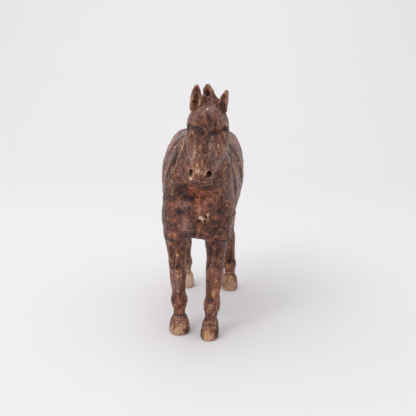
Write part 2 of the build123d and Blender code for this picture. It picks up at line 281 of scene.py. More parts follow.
SHAPE_GROOVES = [  # path, width, depth
    # the edge of the neck and shoulder, standing proud, with a trench close behind it
    ([(-15, -77, 229), (-21, -70, 218), (-28, -66, 201), (-35, -67, 183), (-39, -64, 166)], 6, -1.8),
    ([(-14, -67, 236), (-23, -59, 222), (-32, -55, 204), (-39, -54, 186), (-43, -51, 166)], 7.5, 5.4),
    ([(31, -78, 224), (35, -70, 213), (39, -60, 198), (43, -50, 180), (43, -58, 160)], 6, -1.8),
    ([(30, -66, 232), (36, -57, 220), (41, -48, 203), (45, -41, 184), (46, -44, 162)], 7.5, 5.4),
    # the shoulder blade's rear edge
    ([(-18, -30, 240), (-27, -20, 232), (-35, -18, 221), (-43, -18, 205), (-48, -20, 186)], 8, 3.6),
    ([(-16, -40, 238), (-27, -31, 227), (-35, -29, 214), (-42, -30, 196)], 6, -1.6),
    ([(24, -26, 240), (33, -14, 229), (41, -8, 215), (47, -5, 200), (51, -4, 184)], 8, 3.6),
    ([(24, -38, 237), (33, -26, 224), (40, -21, 210), (46, -17, 194)], 6, -1.6),
    # spine, hindquarters
    ([(3, -12, 245), (1, 30, 240), (0, 80, 243), (0, 118, 236)], 7, 1.0),
    ([(0, 132, 224), (0, 141, 200), (0, 138, 170), (0, 122, 148)], 8, 2.6),
    ([(30, 50, 236), (42, 58, 215), (47, 64, 190), (44, 70, 165)], 9, 1.6),
    ([(-30, 50, 236), (-42, 58, 215), (-47, 64, 190), (-44, 70, 165)], 9, 1.6),
    ([(2, -90, 170), (3, -93, 150), (1, -90, 126)], 6, 1.0),
]
for centre, radii, depth in SHAPE_HOLLOWS:
    blank.press(centre, radii, depth)
for away, y, z, radii, depth in SHAPE_PAIRS:
    for side in SIDES:
        blank.press((side * away, y, z), radii, depth)
blank.turn_over()
for path, width, depth in SHAPE_GROOVES:
    blank.groove(path, width, depth)
blank.turn_over()
blank.sand(3)

# ---------------------------------------------------------------- trunk
# The trunk is one block with its grain running fore and aft, so the breast shows end grain. It is worked
# with a broad gouge and rubbed smooth, and a bored-out knot in the breast holds a round plug.

# Sawing it out. The joints are a slanting face at the root of the neck, and a level one at the top of each
# leg. Each sawn block keeps a fine softened edge along its joint.
NECK_JOINT = ((6, -60, 215), (0, -0.56, 0.83))
FORE_JOINT = ((0, -62, 119), (0, 0, 1))
HIND_JOINT = ((0, 97, 126), (0, 0, 1))
HIND_JOINT_FROM_Y = 70  # ahead of this the belly hangs below the hind joint's level
JOINT_EDGE = 0.3
SAW_REACH = 4  # faces this near a joint's plane are cut
SAW_SPARE = 3  # the hind joint's cut starts this far ahead of the legs it frees
BLOCKS = ["trunk", "neck_and_head", "foreleg_left", "foreleg_right", "hindleg_left", "hindleg_right"]


def above(joint, place):
    """How far the place, in millimetres, is above the joint's plane."""
    (x, y, z), (nx, ny, nz) = joint
    return (place[0] - x) * nx + (place[1] - y) * ny + (place[2] - z) * nz


def block_at(place):
    """Which block of the glued-up blank this place belongs to."""
    flank = "left" if place[0] > 0 else "right"
    if place[1] < 0 and above(FORE_JOINT, place) < 0:
        return "foreleg_" + flank
    if place[1] > HIND_JOINT_FROM_Y and above(HIND_JOINT, place) < 0:
        return "hindleg_" + flank
    return "neck_and_head" if above(NECK_JOINT, place) > 0 else "trunk"


sawn = bmesh.new()
sawn.from_mesh(blank.mesh)
for joint in (NECK_JOINT, FORE_JOINT, HIND_JOINT):
    near = set()
    for face in sawn.faces:
        place = face.calc_center_median() / MM
        behind_belly = place.y > HIND_JOINT_FROM_Y - SAW_SPARE
        if abs(above(joint, place)) < SAW_REACH and (joint != HIND_JOINT or behind_belly):
            near.update((face, *face.edges, *face.verts))
    point, normal = joint
    bmesh.ops.bisect_plane(
        sawn, geom=list(near), dist=1e-6, plane_co=Vector(point) * MM, plane_no=Vector(normal)
    )
for face in sawn.faces:
    face.material_index = BLOCKS.index(block_at(face.calc_center_median() / MM))


def sawn_block(name):
    """One block out of the sawn blank, closed with a flat face at each joint."""
    bm = sawn.copy()
    others = [face for face in bm.faces if face.material_index != BLOCKS.index(name)]
    bmesh.ops.delete(bm, geom=others, context="FACES")
    rim = [edge for edge in bm.edges if edge.is_boundary]
    for vert in {vert for edge in rim for vert in edge.verts}:
        vert.co -= vert.normal * JOINT_EDGE * MM
    caps = bmesh.ops.holes_fill(bm, edges=rim, sides=0)["faces"]
    bmesh.ops.recalc_face_normals(bm, faces=bm.faces)
    for edge in rim:
        edge.smooth = False
    for face in bm.faces:
        face.material_index = 0
    return bm, set(caps)


def refine(bm, caps, chosen=None):
    """Halve the size of the chosen faces, for finer carving, but leave the flat faces at joints whole."""
    edges = set()
    for face in bm.faces:
        if face not in caps and (chosen is None or chosen(face.calc_center_median() / MM)):
            edges.update(face.edges)
    bmesh.ops.subdivide_edges(bm, edges=list(edges), cuts=1, use_grid_fill=True)


def mesh_of(bm, name):
    """The bmesh as a smooth-shaded mesh."""
    for face in bm.faces:
        face.smooth = True
    mesh = bpy.data.meshes.new(name)
    bm.to_mesh(mesh)
    bm.free()
    return mesh


def put_on_bench(name, mesh, material, slot, *nodes):
    """Make the finished mesh a piece of the horse in place of its CAD nodes."""
    piece = bpy.data.objects.new(name, mesh)
    bpy.context.scene.collection.objects.link(piece)
    mesh.materials.clear()
    mesh.materials.append(material)
    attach(piece, "root")
    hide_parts(*nodes)


def weathered(carving, height, size, seed):
    """Move the surface in and out a little, with swellings of about the given size."""
    offset = Vector((seed * 7.3, seed * 3.1, seed * 5.7))
    amount = np.array([noise.noise(Vector(point) / size + offset) for point in carving.points])
    carving.points += carving.normals * (amount * height * carving.free)[:, None]


def dents(carving, count, size, depth, seed):
    """Small knocks and chips, anywhere on the piece."""
    chance = np.random.default_rng(seed)
    for place in chance.integers(0, len(carving.points), count):
        radii = size * chance.uniform(0.5, 1.3, 3)
        carving.press(carving.points[place], radii, depth * chance.uniform(0.4, 1.0))


CAD_LOW, CAD_HIGH = (np.array(corner) / MM for corner in cad_box)
CLEAR = 0.05  # the carving stops this far inside the box that the CAD fills
RUBBING = (4, 16, 48)  # rounds of smoothing that fine, middling and broad relief are told by
# Besides stain and wear, some dark marks are painted shade, and some grey, pale and tan marks painted
# highlight
MARKS = ("pale", "tan", "dark", "grey", "warm")


def finish_surface(carving, stains_and_painted_light=(), lines_of_stain_and_painted_light=()):
    """Store what the stain and the wear look at: how proud each point stands, and the marked places, painted
    shade and highlight among them.
    """
    carving.points = np.clip(carving.points, CAD_LOW, CAD_HIGH - CLEAR)
    carving.points[:, :2] = np.clip(carving.points, CAD_LOW + CLEAR, CAD_HIGH - CLEAR)[:, :2]
    carving.turn_over()
    soft = carving.points.copy()
    marks = {"proud": np.zeros(len(soft))}
    done = 0
    for rounds in RUBBING:
        for _ in range(rounds - done):
            soft = soft + (carving.mean_of_neighbours(soft) - soft) * 0.6
        done = rounds
        marks["proud"] += ((carving.points - soft) * carving.normals).sum(1) / rounds**0.5
    for kind in MARKS:
        marks[kind] = np.zeros(len(soft))
    for kind, centre, radii, amount in stains_and_painted_light:
        chosen, share = carving.within(centre, radii)
        marks[kind][chosen] = np.maximum(marks[kind][chosen], share**0.5 * amount)
    for kind, path, width, amount in lines_of_stain_and_painted_light:
        chosen, share = carving.near_line(path, width)
        marks[kind][chosen] = np.maximum(marks[kind][chosen], share**0.7 * amount)
    for kind, values in marks.items():
        layer = carving.mesh.attributes.new(kind, "FLOAT", "POINT")
        layer.data.foreach_set("value", values.astype(np.float32))


# Staining it. The same dark brown stain lies over all the light close-grained wood, rubbed and dusty with
# age. It has worn through to tan on what stands proud, gone nearly black in the hollows, and greyed where
# dust and wax lie on it. Some stored marks also paint light and shade on: painted shade in creases, under
# the brow and in holes, and a grey painted sheen and pale painted highlights on ridges and swellings.
def node(tree, kind, inputs=None, **settings):
    """Add a shader node. An input is a value or another node's output."""
    made = tree.nodes.new("ShaderNode" + kind)
    for setting, value in settings.items():
        setattr(made, setting, value)
    for socket, value in (inputs or {}).items():
        if isinstance(value, bpy.types.NodeSocket):
            tree.links.new(value, made.inputs[socket])
        else:
            made.inputs[socket].default_value = value
    return made


def sums(tree, operation, *values):
    """The result of a Math node."""
    return node(tree, "Math", dict(enumerate(values)), operation=operation).outputs[0]


def between(tree, value, low, high):
    """0 below low, 1 above high, smooth between."""
    inputs = {"Value": value, "From Min": low, "From Max": high}
    return node(tree, "MapRange", inputs, interpolation_type="SMOOTHSTEP").outputs["Result"]


def mixed(tree, share, base, over, kind="MIX"):
    """One colour laid over another."""
    made = node(tree, "Mix", {0: share, 6: base, 7: over}, data_type="RGBA", blend_type=kind)
    return made.outputs[2]


def mark(tree, kind):
    """One of the surface's stored marks."""
    return node(tree, "Attribute", attribute_name=kind).outputs["Fac"]


def speckle(tree, place, scale, detail=3.0, roughness=0.55, stretch=None):
    """Noise at a scale given in blobs to the metre, drawn out along an axis if stretch is given."""
    if stretch:
        place = node(tree, "Mapping", {"Vector": place, "Scale": stretch}).outputs["Vector"]
    inputs = {"Vector": place, "Scale": scale, "Detail": detail, "Roughness": roughness}
    return node(tree, "TexNoise", inputs).outputs["Fac"]


def graded(tree, value, stops):
    """A colour for each value: stops are value and linear colour, from low to high."""
    made = node(tree, "ValToRGB", {"Fac": value})
    elements = made.color_ramp.elements
    while len(elements) < len(stops):
        elements.new(1.0)
    for element, (position, colour) in zip(elements, stops):
        element.position = position
        element.color = (*colour, 1)
    return made.outputs["Color"]


# The stain from its darkest, where it pooled, up to worn wood. Linear colours.
STAIN_TONES = [
    (0.00, (0.014, 0.005, 0.006)),
    (0.20, (0.044, 0.014, 0.010)),
    (0.44, (0.118, 0.040, 0.023)),
    (0.64, (0.222, 0.088, 0.050)),
    (0.82, (0.370, 0.185, 0.108)),
    (1.00, (0.570, 0.370, 0.235)),
]
RED_TINT = (1.28, 0.88, 0.70, 1)
OCHRE_TINT = (1.1, 1.05, 0.76, 1)
PLUM_TINT = (0.98, 0.86, 1.15, 1)
# Grey of dust, and also of a painted sheen where the grey marks lie on ridges, shoulders and brow
DUST_AND_SHEEN_GREY = (0.30, 0.195, 0.17, 1)
# Pale bare wood, and also painted highlights where the pale marks follow ridges
BARE_WOOD_AND_HIGHLIGHT = (0.80, 0.55, 0.38, 1)

# Sizes of the stain's variation, in blobs to the metre
PORES = 1500.0
GRIT = 760.0
FIBRES = 560.0
FLECKS = 300.0
HUES = 150.0
PATCHES = 110.0
CLOUDS = 42.0
GRAIN_WANDER = 0.012  # metres
BUMP_DEPTH = 0.0009  # metres


def stained_wood(name, grain, pith, level=0.44, red=0.4, dust=0.3, worn=1.0, contrast=1.0, roughness=0.36):
    """The stain on a block: its grain's direction, a point on its pith, and how light and worn it is."""
    material = bpy.data.materials.new(name)
    material.use_nodes = True
    tree = material.node_tree
    shader = tree.nodes["Principled BSDF"]
    position = node(tree, "TexCoord").outputs["Object"]
    turn = Vector(grain).rotation_difference(Vector((0, 0, 1)))
    shift = -(turn @ (Vector(pith) * MM))
    along = {"Vector": position, "Rotation": turn.to_euler(), "Location": shift}
    along = node(tree, "Mapping", along).outputs["Vector"]
    wander = node(tree, "TexNoise", {"Vector": along, "Scale": 28.0, "Detail": 2.0}).outputs["Color"]
    bent = {0: wander, 1: (GRAIN_WANDER,) * 3, 2: along}
    bent = node(tree, "VectorMath", bent, operation="MULTIPLY_ADD").outputs["Vector"]
    rings = node(
        tree,
        "TexWave",
        {"Vector": bent, "Scale": 62.0, "Distortion": 2.2, "Detail": 3.0, "Detail Scale": 1.6},
        wave_type="RINGS",
        rings_direction="Z",
    ).outputs["Fac"]
    fibres = speckle(tree, bent, FIBRES, 5.0, 0.65, (1, 1, 0.1))
    pores = speckle(tree, bent, PORES, 2.0, 0.5, (1, 1, 0.16))
    grit = speckle(tree, position, GRIT, 4.0, 0.7)
    flecks = speckle(tree, position, FLECKS, 5.0, 0.68)
    patches = speckle(tree, position, PATCHES, 4.0, 0.6)
    clouds = speckle(tree, position, CLOUDS, 3.0, 0.5)
    proud = mark(tree, "proud")

    # How light the stain is: noise on six scales about a mean of nought, wear, and the stored marks;
    # some of these marks are painted shade and painted highlights
    tone = sums(tree, "MULTIPLY_ADD", fibres, 1.2, sums(tree, "MULTIPLY_ADD", grit, 0.9, -1.05))
    tone = sums(tree, "MULTIPLY_ADD", flecks, 0.8, sums(tree, "ADD", tone, -0.4))
    tone = sums(tree, "MULTIPLY_ADD", patches, 0.9, sums(tree, "ADD", tone, -0.45))
    tone = sums(tree, "MULTIPLY_ADD", clouds, 0.5, sums(tree, "ADD", tone, -0.25))
    tone = sums(tree, "MULTIPLY_ADD", rings, 0.1, sums(tree, "MULTIPLY_ADD", tone, contrast, level))
    tone = sums(tree, "MULTIPLY_ADD", proud, worn, tone)
    # Tan marks are worn wood, and on the brow, nose and breast also a painted highlight
    tone = sums(tree, "MULTIPLY_ADD", mark(tree, "tan"), 0.3, tone)
    dark = mark(tree, "dark")
    # Dark marks are dark stain, and in creases, under the brow and in holes painted shade
    tone = sums(tree, "MULTIPLY_ADD", dark, -0.36, tone)
    colour = graded(tree, tone, STAIN_TONES)

    hue = speckle(tree, position, HUES, 3.0, 0.6)
    colour = mixed(tree, between(tree, hue, 0.5, 0.66), colour, OCHRE_TINT, "MULTIPLY")
    colour = mixed(tree, between(tree, hue, 0.5, 0.34), colour, PLUM_TINT, "MULTIPLY")
    redness = sums(tree, "MULTIPLY", between(tree, sums(tree, "ADD", clouds, patches), 0.9, 1.2), red)
    redness = sums(tree, "ADD", redness, mark(tree, "warm"))
    redness = sums(tree, "MINIMUM", redness, 1.0)
    colour = mixed(tree, redness, colour, RED_TINT, "MULTIPLY")

    # Grey laid on: random dust, and the stored grey marks, which in places are a painted sheen
    dust_and_sheen = sums(tree, "MULTIPLY_ADD", between(tree, clouds, 0.42, 0.62), dust, mark(tree, "grey"))
    dust_and_sheen = sums(tree, "MULTIPLY", dust_and_sheen, between(tree, sums(tree, "ADD", fibres, grit), 0.75, 1.25))
    colour = mixed(tree, sums(tree, "MINIMUM", dust_and_sheen, 0.65), colour, DUST_AND_SHEEN_GREY)

    # Pale wood laid on: chips and worn specks, and the stored pale marks, some of which are painted
    # highlights
    bare_and_highlight = sums(tree, "MULTIPLY_ADD", sums(tree, "SUBTRACT", flecks, 0.5), 2.0, mark(tree, "pale"))
    bare_and_highlight = sums(tree, "MULTIPLY_ADD", sums(tree, "SUBTRACT", grit, 0.5), 1.0, bare_and_highlight)
    bare_and_highlight = sums(tree, "MULTIPLY_ADD", dark, -0.8, bare_and_highlight)
    colour = mixed(tree, between(tree, bare_and_highlight, 0.35, 0.9), colour, BARE_WOOD_AND_HIGHLIGHT)

    crevice = between(tree, sums(tree, "MULTIPLY_ADD", grit, 0.15, proud), -0.05, -0.45)
    colour = mixed(tree, crevice, colour, STAIN_TONES[0][1] + (1,))
    pits = sums(tree, "MULTIPLY", between(tree, pores, 0.38, 0.3), 0.7)
    colour = mixed(tree, pits, colour, STAIN_TONES[0][1] + (1,))
    tree.links.new(colour, shader.inputs["Base Color"])

    gloss = sums(tree, "MULTIPLY_ADD", patches, 0.3, sums(tree, "MULTIPLY_ADD", grit, 0.5, -0.4))
    gloss = sums(tree, "ADD", gloss, roughness)
    tree.links.new(gloss, shader.inputs["Roughness"])
    shader.inputs["Specular IOR Level"].default_value = 0.25
    shader.inputs["Coat Weight"].default_value = 0.1
    shader.inputs["Coat Roughness"].default_value = 0.2
    relief = sums(tree, "MULTIPLY_ADD", fibres, 0.5, sums(tree, "MULTIPLY", grit, 0.7))
    relief = sums(tree, "MULTIPLY_ADD", flecks, 1.6, relief)
    relief = sums(tree, "MULTIPLY_ADD", pits, -0.8, relief)
    bump = node(tree, "Bump", {"Strength": 0.9, "Distance": BUMP_DEPTH, "Height": relief})
    tree.links.new(bump.outputs["Normal"], shader.inputs["Normal"])
    return material


trunk_wood = stained_wood("trunk_wood", (0, 1, 0.05), (14, 0, 172), red=0.7, dust=0.25)

PLUG_AT = (9, -94, 149.5)
PLUG_PALE = [
    ("pale", (4.8, -94, 150.9), (3.6, 7, 3.4), 1.25),
    ("pale", (12.3, -94, 154.2), (2.8, 7, 3.0), 1.1),
]
PLUG_PITS = [  # centre, radii
    ((2.8, -94, 147), (1.7, 6, 1.6)),
    ((10.7, -94, 151.6), (1.3, 6, 2.5)),
    ((9.4, -94, 146.8), (1.5, 6, 1.5)),
]
PIT_DEPTH = 2.4
KNOT_DEPTH = 3.0
trunk_bm, trunk_caps = sawn_block("trunk")
refine(trunk_bm, trunk_caps, lambda place: (place - Vector(PLUG_AT)).length < 11)
refine(trunk_bm, trunk_caps, lambda place: (place - Vector(PLUG_AT)).length < 9)
trunk = Carving(mesh_of(trunk_bm, "trunk"))
trunk.hold(*NECK_JOINT, 3)
for place in ((-4, -87, 126), (3, -88, 127), (11, -87, 126)):
    trunk.press(place, (3.5, 4, 2.6), 1.3)
trunk.gouge_marks(1100, (0, 1, -0.15), 12, 5, 0.34, seed=3)
weathered(trunk, 0.55, 16, 1)
weathered(trunk, 0.5, 4.5, 2)
dents(trunk, 60, 3.0, 0.7, 4)
trunk.turn_over()
trunk.drill(PLUG_AT, (5.9, 9, 5.6), (0, 1, 0), KNOT_DEPTH)
trunk.turn_over()
for centre, radii in PLUG_PITS:
    trunk.drill(centre, radii, (0, 1, 0), PIT_DEPTH)
finish_surface(
    trunk,
    stains_and_painted_light=[
        ("dark", (-20.5, -88, 184), (8, 10, 9), 0.75),
        ("dark", (-8, -91, 172), (6.5, 8, 5.5), 0.8),
        ("dark", (18.5, -91, 146), (4.5, 8, 6), 0.8),
        ("dark", (21.5, -90, 137), (3.4, 8, 5), 1.1),
        ("dark", (27, -87, 158), (8, 9, 7), 0.55),
        ("dark", (-14, -90, 128), (12, 10, 5), 0.6),
        ("grey", (-13, -91, 140), (9, 12, 9), 0.95),
        # Painted sheen and highlight along the top of the breast's swellings
        ("grey", (-15, -90, 165), (12, 12, 7), 0.8),
        ("tan", (-14, -90, 165), (13, 12, 6), 0.45),
        ("tan", (3, -92, 162), (12, 12, 5), 0.35),
        ("grey", (36, -82, 175), (8, 12, 9), 0.6),
        ("tan", (38, -80, 166), (7, 12, 9), 0.6),
        ("warm", (0, -91, 178), (16, 12, 14), 0.9),
        ("warm", (-28, -86, 158), (8, 12, 14), 0.9),
        ("warm", (-26, -86, 182), (6, 12, 9), 0.7),
        ("warm", (24, -88, 150), (14, 12, 12), 0.45),
        ("warm", (44, 60, 222), (14, 50, 18), 0.7),
        ("warm", (-44, 60, 222), (14, 50, 18), 0.7),
        # Grey painted sheen on the left shoulder; the tans below it are the wood's colour
        ("grey", (38, -22, 214), (12, 20, 24), 0.45),
        ("tan", (46, -14, 192), (10, 44, 34), 0.8),
        ("tan", (-46, -14, 196), (10, 44, 30), 0.5),
        # Grey painted sheen on the right shoulder
        ("grey", (-34, -34, 214), (12, 20, 24), 0.45),
        ("tan", (38, -70, 158), (5, 8, 8), 0.7),
        ("tan", (8, -91, 150), (9, 8, 8), 0.7),
        *PLUG_PALE,
        # Painted shade in the plug's pits
        *(("dark", centre, radii, 2.0) for centre, radii in PLUG_PITS),
        ("tan", (24, -88, 176), (12, 10, 9), 0.5),
        ("tan", (-30, -84, 128), (9, 10, 7), 0.6),
        ("tan", (28, -86, 130), (10, 10, 7), 0.5),
        ("tan", (-40, 30, 226), (16, 60, 16), 0.85),
        ("tan", (42, 36, 226), (14, 60, 14), 0.6),
        # Painted shade under the throat, below the head
        ("dark", (2, -88, 184), (26, 10, 7), 0.55),
        ("dark", (-34, -72, 172), (7, 12, 12), 0.5),
        ("dark", (20, -88, 123), (14, 10, 4), 0.5),
    ],
    lines_of_stain_and_painted_light=[
        # Painted shade in the slits behind the neck's edges and along the shoulder blades' rear edges
        ("dark", [(-24, -58, 213), (-31, -55, 203), (-36, -54, 192)], 3.0, 1.0),
        ("dark", [(-15, -66, 234), (-24, -58, 213), (-41, -52, 176)], 5.0, 0.6),
        ("dark", [(37, -54, 212), (41, -48, 202), (44, -43, 190)], 3.0, 1.0),
        ("dark", [(30, -65, 230), (37, -54, 212), (45, -42, 172)], 5.0, 0.6),
        ("dark", [(-29, -18, 229), (-40, -18, 212), (-48, -20, 190)], 5.0, 0.7),
        ("dark", [(33, -14, 228), (43, -7, 211), (51, -4, 188)], 5.0, 0.7),
        # Grey painted sheen and pale painted highlights along the neck's edges and the shoulder blades
        ("grey", [(-15, -77, 229), (-28, -66, 201), (-39, -64, 166)], 4.0, 0.8),
        ("grey", [(31, -78, 224), (39, -60, 198), (43, -55, 164)], 4.0, 0.8),
        (
            "pale",
            [(-15, -78, 229), (-22, -71, 217), (-28, -68, 202), (-34, -68, 186), (-38, -67, 170)],
            3.0,
            0.5,
        ),
        ("pale", [(-22, -36, 234), (-31, -30, 223), (-38, -28, 210)], 4.5, 0.4),
        ("pale", [(31, -78, 224), (36, -70, 211), (40, -64, 197), (43, -60, 180), (43, -60, 164)], 3.0, 0.52),
        ("pale", [(28, -34, 234), (36, -26, 222), (43, -21, 206), (47, -18, 190)], 4.5, 0.42),
        ("pale", [(-31, -80, 191), (-30, -83, 182), (-29, -85, 174)], 2.6, 0.42),
        ("pale", [(-28, -86, 166), (-27, -87, 159)], 2.4, 0.42),
        ("grey", [(-20, -40, 236), (-31, -30, 221), (-42, -30, 196)], 7.0, 0.6),
        ("grey", [(27, -34, 234), (37, -24, 218), (46, -17, 194)], 7.0, 0.6),
    ],
)
put_on_bench("trunk_carving", trunk.mesh, trunk_wood, "stained_wood", "trunk")

# ---------------------------------------------------------------- neck and head
# One block with its grain running from the poll down to the muzzle. The brow is two lobes with a groove
# between them, the nose is a flat bridge, and the nostrils are pierced with a small gouge.
FACE_GRAIN = (0, -0.56, -0.83)
head_wood = stained_wood("head_wood", FACE_GRAIN, (20, -90, 240), red=0.4, dust=0.3, contrast=1.15)
NOSTRILS = [((-2.0, -152, 210.2), (3.1, 8, 4.1)), ((16.9, -152, 208.8), (3.1, 8, 3.8))]
FINE_PLACES = [(-2.0, -150, 209), (16.9, -150, 208), (-8, -114, 253), (35, -114, 253)]  # nostrils, eyes
MOUTH = [(-5, -138, 204), (-3.5, -148, 201.5), (6.5, -152, 199.4), (17, -149, 200.6), (20, -139, 203)]
EYES = [(-8.2, -112, 252.5), (35.0, -112, 252.0)]

head_bm, head_caps = sawn_block("neck_and_head")
refine(head_bm, head_caps, lambda place: place.y < -80)
refine(head_bm, head_caps, lambda place: min((place - Vector(fine)).length for fine in FINE_PLACES) < 8)
head = Carving(mesh_of(head_bm, "neck_and_head"))
head.hold(*NECK_JOINT, 3)
for centre, radii, depth in [
    ((5.2, -122, 262), (9.5, 13, 13), -2.8),  # brow lobes
    ((24.6, -120.6, 262), (9.5, 13, 13), -2.8),
    ((-6, -104, 232), (9, 15, 15), -1.0),  # jowls
    ((24, -147, 203), (7, 10, 9), 2.6),  # corner of the lips
    ((-10, -144, 201), (6, 10, 8), 1.8),
    ((7.5, -152, 207), (9, 8, 9), -0.9),  # lips
    ((7, -141, 194), (9, 9, 8), -1.2),  # chin
    ((-2, -110, 275), (5, 8, 6), 1.2),  # temples
    ((30, -108, 275), (5, 8, 6), 1.2),
]:
    head.press(centre, radii, depth)
head.turn_over()
for path, width, depth in [
    ([(15.1, -112, 272), (16.1, -124, 260.5), (15.6, -131, 249)], 5.5, 1.8),  # between the lobes
    ([(-6, -117, 257), (2, -128, 252.6), (10, -130, 250)], 5.5, 2.2),  # under them
    ([(19, -130, 250), (26.2, -128, 250.8), (33, -119, 254)], 5.5, 2.2),
    ([(2.6, -132, 245), (1.4, -140, 230), (1.0, -147, 219)], 3.2, -1.3),  # edges of the nose
    ([(18.6, -133, 245), (17.2, -141, 230), (14.9, -148, 220)], 3.2, -1.3),
    ([(-3, -127, 244), (-3.2, -135, 231), (-3.6, -142, 219)], 6, 1.9),  # the cheeks' hollows
    ([(24.5, -127, 244), (22, -136, 231), (20, -143, 219)], 6, 1.9),
    ([(-9, -108, 243), (-8, -121, 235), (-6, -131, 226)], 4.5, -0.8),  # cheekbones
    ([(33, -108, 243), (29, -121, 235), (25, -131, 226)], 4.5, -0.6),
    ([(-7, -90, 250), (-8, -92, 234), (-4, -98, 219), (2, -108, 208)], 6, 2.2),  # behind the jaw
    ([(33, -90, 250), (34, -92, 234), (30, -98, 219), (22, -108, 208)], 6, 2.2),
    (MOUTH, 2.4, 1.4),
]:
    head.groove(path, width, depth)
head.turn_over()
for eye in EYES:
    head.press(eye, (7, 8, 6), 1.5)
    head.turn_over()
    head.press(eye, (3.6, 4.6, 2.9), -1.9)
    side = math.copysign(1, eye[0] - 13)
    x, y, z = eye
    head.groove([(x - 3 * side, y - 5, z - 1), (x, y - 1, z + 3.6), (x + 1, y + 5, z)], 1.5, 1.1)
    head.groove([(x - 3 * side, y - 5, z - 1), (x, y - 1, z - 3.4), (x + 1, y + 5, z)], 1.5, 0.9)
head.gouge_marks(260, FACE_GRAIN, 10, 3.4, 0.35, 11)
weathered(head, 0.5, 11, 5)
weathered(head, 0.4, 3.4, 6)
dents(head, 40, 2.4, 0.6, 7)
head.turn_over()
for centre, radii in NOSTRILS:
    head.press(centre, (5.4, 6, 5.8), -1.1)
head.turn_over()
for centre, radii in NOSTRILS:
    head.drill(centre, radii, (0, 1, 0.3), 6.5)
head.drill((14.6, -152, 206.4), (2.1, 7, 2.0), (0, 1, 0.2), 4.0)
finish_surface(
    head,
    stains_and_painted_light=[
        # Painted shade inside the pierced nostrils
        ("dark", (-2.0, -149, 210.4), (2.7, 9, 3.6), 2.0),
        ("dark", (16.9, -149, 209), (2.7, 9, 3.4), 2.0),
        # Painted highlight below the right nostril
        ("pale", (-1.6, -153.4, 204.4), (2.2, 4, 2.4), 1.1),
        ("tan", (7.7, -151, 210), (14, 12, 12), 0.85),
        ("pale", (15.2, -149, 214), (2.6, 5, 6), 0.45),
        ("pale", (34, -116, 257.5), (3.0, 5, 4.4), 0.85),
        ("pale", (13.2, -110.2, 273.5), (1.4, 3, 1.4), 1.2),
        # Tan on the brow lobes and the nose's bridge: worn wood, with a painted highlight where they face the
        # light
        ("tan", (1, -122, 258), (7, 8, 8), 0.55),
        ("tan", (27, -121, 260), (8, 8, 9), 0.4),
        ("tan", (9, -136, 238), (9, 9, 12), 0.35),
        # Painted shade in the eyes' hollows, under the brow lobes and in the groove between them
        ("dark", (-9, -112, 252), (6, 9, 4), 0.6),
        ("dark", (35, -112, 251), (6, 9, 4), 0.7),
        ("dark", (-6, -117, 257), (3.0, 6, 2.4), 0.6),
        ("dark", (4, -128.5, 252), (4.0, 6, 2.0), 0.7),
        ("dark", (9.5, -130, 248.5), (3.2, 6, 2.6), 0.5),
        ("dark", (22, -128, 249), (7, 7, 4.4), 0.85),
        ("dark", (20, -129, 244), (5, 6, 5), 0.5),
        ("dark", (31, -121, 252.5), (4, 6, 3), 0.5),
        ("dark", (14.5, -121, 266), (3.4, 10, 9), 0.35),
        ("dark", (21.5, -122, 260), (1.6, 9, 9), 0.6),
        ("dark", (24.5, -120, 266), (1.4, 9, 7), 0.45),
        ("dark", (6, -110, 283), (10, 10, 6), 0.5),
        # Grey painted sheen on the top of the forehead, the left brow lobe and the sides of the nose
        ("grey", (16, -108, 274), (16, 10, 9), 0.8),
        ("grey", (28, -118, 264), (8, 10, 8), 0.5),
        ("grey", (20, -139, 231), (5, 16, 22), 0.9),
        ("grey", (-2, -136, 226), (4, 14, 20), 0.6),
        ("warm", (14, -118, 264), (22, 14, 12), 0.45),
    ],
    lines_of_stain_and_painted_light=[
        # Painted shade under the brow lobes
        ("dark", [(-8, -114, 258), (-5, -119, 256), (2, -128, 252), (10, -130, 250)], 2.4, 0.35),
        ("dark", [(19, -130, 249), (26, -128, 250), (34, -118, 254)], 3, 0.35),
        ("dark", [(-7, -92, 240), (-6, -94, 228), (-2, -104, 214)], 5, 0.6),
        ("dark", [(33, -92, 240), (33, -94, 228), (28, -104, 214)], 5, 0.6),
        ("dark", [(-5, -138, 204), (6.5, -152, 199.4), (20, -139, 203)], 1.8, 0.4),
        ("dark", [(21.5, -118, 271), (22.5, -123, 261), (22, -127, 253)], 1.3, 1.0),
        ("dark", [(25.5, -118, 268), (26.5, -122, 260)], 1.1, 0.9),
        # Painted shade under the right brow lobe and down the groove between the lobes
        ("dark", [(-4, -124, 257), (0, -128, 254), (5, -130, 254.5), (9, -131, 252)], 1.3, 1.0),
        ("dark", [(0, -129, 250.5), (5, -131, 249.5), (10, -132, 246.5)], 1.2, 0.9),
        ("dark", [(12, -128, 258), (16, -130, 250), (17, -132, 243)], 1.6, 0.8),
        ("pale", [(2.2, -138, 232), (1.2, -146, 219)], 1.2, 0.45),
    ],
)
put_on_bench("neck_and_head_carving", head.mesh, head_wood, "head_wood", "neck_and_head")

# ---------------------------------------------------------------- neck dowel
# A turned dowel, glued across the joint at the root of the neck. It shows only when the joint is apart.
dowel_wood = bpy.data.materials.new("dowel_wood")
dowel_wood.use_nodes = True
dowel_tree = dowel_wood.node_tree
dowel_place = node(dowel_tree, "TexCoord").outputs["Object"]
dowel_fibres = speckle(dowel_tree, dowel_place, 500.0, 4.0, 0.6, (1, 0.1, 0.2))
dowel_colour = mixed(dowel_tree, dowel_fibres, (0.42, 0.27, 0.15, 1), (0.66, 0.5, 0.32, 1))
dowel_tree.links.new(dowel_colour, dowel_tree.nodes["Principled BSDF"].inputs["Base Color"])
dowel_tree.nodes["Principled BSDF"].inputs["Roughness"].default_value = 0.6
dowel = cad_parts["neck_dowel"]
dowel.data.materials.clear()
dowel.data.materials.append(dowel_wood)

